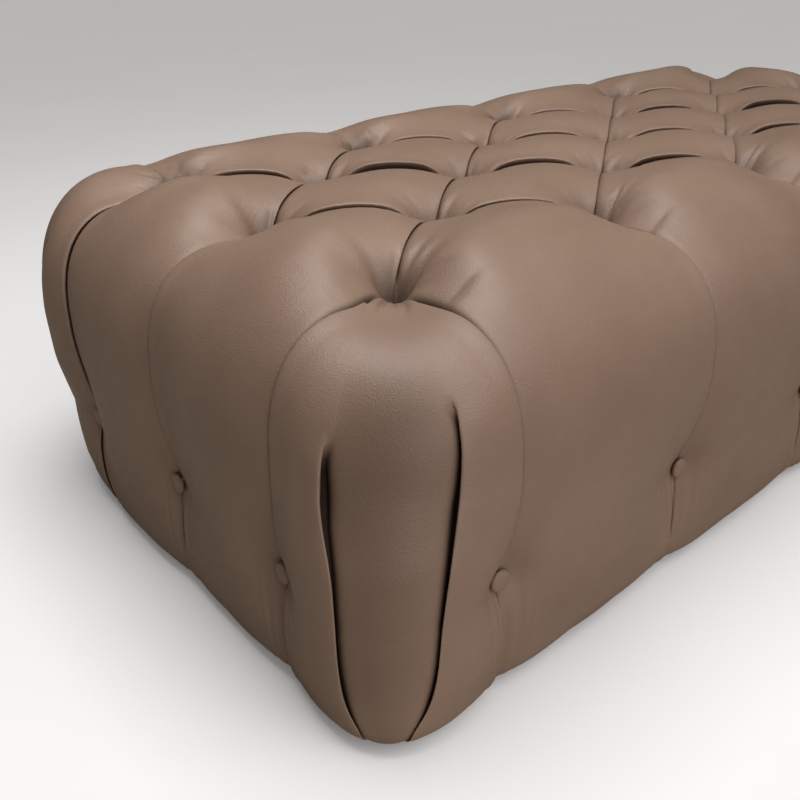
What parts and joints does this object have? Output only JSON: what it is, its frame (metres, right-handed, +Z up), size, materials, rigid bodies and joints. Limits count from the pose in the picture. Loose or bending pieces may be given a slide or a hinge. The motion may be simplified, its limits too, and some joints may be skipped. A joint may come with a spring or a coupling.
{
  "type": "tufted bench ottoman",
  "caption": "Long rectangular ottoman, deep diamond-tufted in brown leather over foam on a timber frame, with tall pleated sides drawn in by covered buttons.",
  "frame": {"origin": "on the floor, under the middle of the bench", "axes": "+X along the bench's length, +Y towards its back, +Z up"},
  "size_m": [1.356, 0.684, 0.396],
  "materials": {
    "leather": "satin taupe-brown hide with a fine pebble grain",
    "wadding": "white bonded polyester wadding",
    "foam": "open-cell upholstery foam",
    "twine": "waxed flax tufting twine",
    "toggle_plastic": "moulded nylon",
    "softwood": "planed pine",
    "plywood": "birch plywood",
    "steel": "zinc plated",
    "dust_cloth": "black non-woven cambric",
    "foot_plastic": "matte black glide"
  },
  "bodies": {
    "root": {"leather_cover": "leather", "top_button_caps": "leather", "side_button_caps": "leather", "fibre_wadding": "wadding", "seat_foam": "foam", "side_foam_front": "foam", "side_foam_back": "foam", "side_foam_left": "foam", "side_foam_right": "foam", "top_tufting_twines": "twine", "side_tufting_twines": "twine", "top_twine_toggles": "toggle_plastic", "side_twine_toggles": "toggle_plastic", "bottom_rail_front": "softwood", "bottom_rail_back": "softwood", "bottom_rail_left": "softwood", "bottom_rail_right": "softwood", "top_rail_front": "softwood", "top_rail_back": "softwood", "top_rail_left": "softwood", "top_rail_right": "softwood", "corner_post_front_left": "softwood", "corner_post_front_right": "softwood", "corner_post_back_left": "softwood", "corner_post_back_right": "softwood", "middle_post_front_left": "softwood", "middle_post_front_right": "softwood", "middle_post_back_left": "softwood", "middle_post_back_right": "softwood", "bottom_cross_rail_left": "softwood", "bottom_cross_rail_right": "softwood", "deck_bearer_left": "softwood", "deck_bearer_right": "softwood", "corner_block_front_left": "softwood", "corner_block_front_right": "softwood", "corner_block_back_left": "softwood", "corner_block_back_right": "softwood", "deck_panel": "plywood", "side_panel_front": "plywood", "side_panel_back": "plywood", "side_panel_left": "plywood", "side_panel_right": "plywood", "top_button_loops": "steel", "side_button_loops": "steel", "rail_screws": "steel", "cross_rail_screws": "steel", "post_screws": "steel", "deck_screws": "steel", "foot_screws": "steel", "panel_nails": "steel", "hem_staples": "steel", "dust_cover_staples": "steel", "dust_cover": "dust_cloth", "feet": "foot_plastic"}
  },
  "joints": []
}
